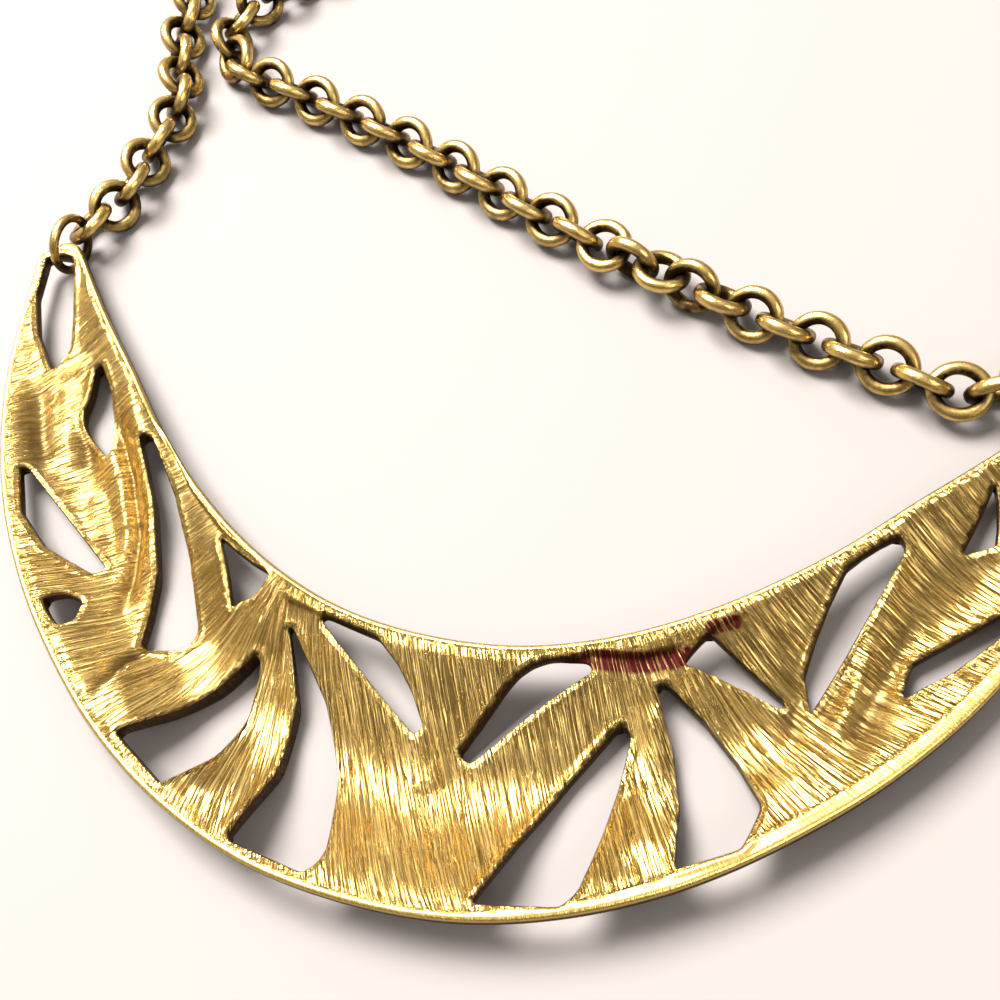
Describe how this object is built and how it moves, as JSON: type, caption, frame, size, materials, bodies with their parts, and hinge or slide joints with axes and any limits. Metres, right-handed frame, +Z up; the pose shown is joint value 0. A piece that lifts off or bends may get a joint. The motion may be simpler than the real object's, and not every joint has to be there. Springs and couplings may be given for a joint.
{
  "type": "bib necklace",
  "caption": "Bib necklace lying flat: a crescent plate pierced with leaf-shaped openings, rings at its tips, and a chain of round links that closes the loop at a plain clasp.",
  "frame": {"origin": "under the middle of the necklace's box, on the table it lies on", "axes": "+Z up from the table, -Y towards the bib's lower edge, +Y towards the back of the chain"},
  "size_m": [0.1356, 0.1586, 0.0073],
  "materials": {
    "antique_gold": "cast metal plated in gold and darkened in its grooves, satin with polished high places",
    "aged_gold_chain": "plated wire links, polished on top and darkened in the recesses"
  },
  "bodies": {
    "root": {"bib_plate": "antique_gold", "tip_ring_right": "aged_gold_chain", "tip_ring_left": "aged_gold_chain", "link_right_01": "aged_gold_chain", "link_right_02": "aged_gold_chain", "link_right_03": "aged_gold_chain", "link_right_04": "aged_gold_chain", "link_right_05": "aged_gold_chain", "link_right_06": "aged_gold_chain", "link_right_07": "aged_gold_chain", "link_right_08": "aged_gold_chain", "link_right_09": "aged_gold_chain", "link_right_10": "aged_gold_chain", "link_right_11": "aged_gold_chain", "link_right_12": "aged_gold_chain", "link_right_13": "aged_gold_chain", "link_right_14": "aged_gold_chain", "link_right_15": "aged_gold_chain", "link_right_16": "aged_gold_chain", "link_right_17": "aged_gold_chain", "link_right_18": "aged_gold_chain", "link_right_19": "aged_gold_chain", "link_right_20": "aged_gold_chain", "link_right_21": "aged_gold_chain", "link_right_22": "aged_gold_chain", "link_right_23": "aged_gold_chain", "link_right_24": "aged_gold_chain", "link_right_25": "aged_gold_chain", "link_right_26": "aged_gold_chain", "link_right_27": "aged_gold_chain", "link_right_28": "aged_gold_chain", "link_right_29": "aged_gold_chain", "link_right_30": "aged_gold_chain", "link_right_31": "aged_gold_chain", "chain_right_stretch_1": "aged_gold_chain", "link_left_01": "aged_gold_chain", "link_left_02": "aged_gold_chain", "link_left_03": "aged_gold_chain", "link_left_04": "aged_gold_chain", "link_left_05": "aged_gold_chain", "link_left_06": "aged_gold_chain", "link_left_07": "aged_gold_chain", "link_left_08": "aged_gold_chain", "link_left_09": "aged_gold_chain", "link_left_10": "aged_gold_chain", "link_left_11": "aged_gold_chain", "chain_left_stretch_1": "aged_gold_chain", "chain_left_stretch_2": "aged_gold_chain", "chain_left_stretch_3": "aged_gold_chain", "clasp": "aged_gold_chain"}
  },
  "joints": []
}
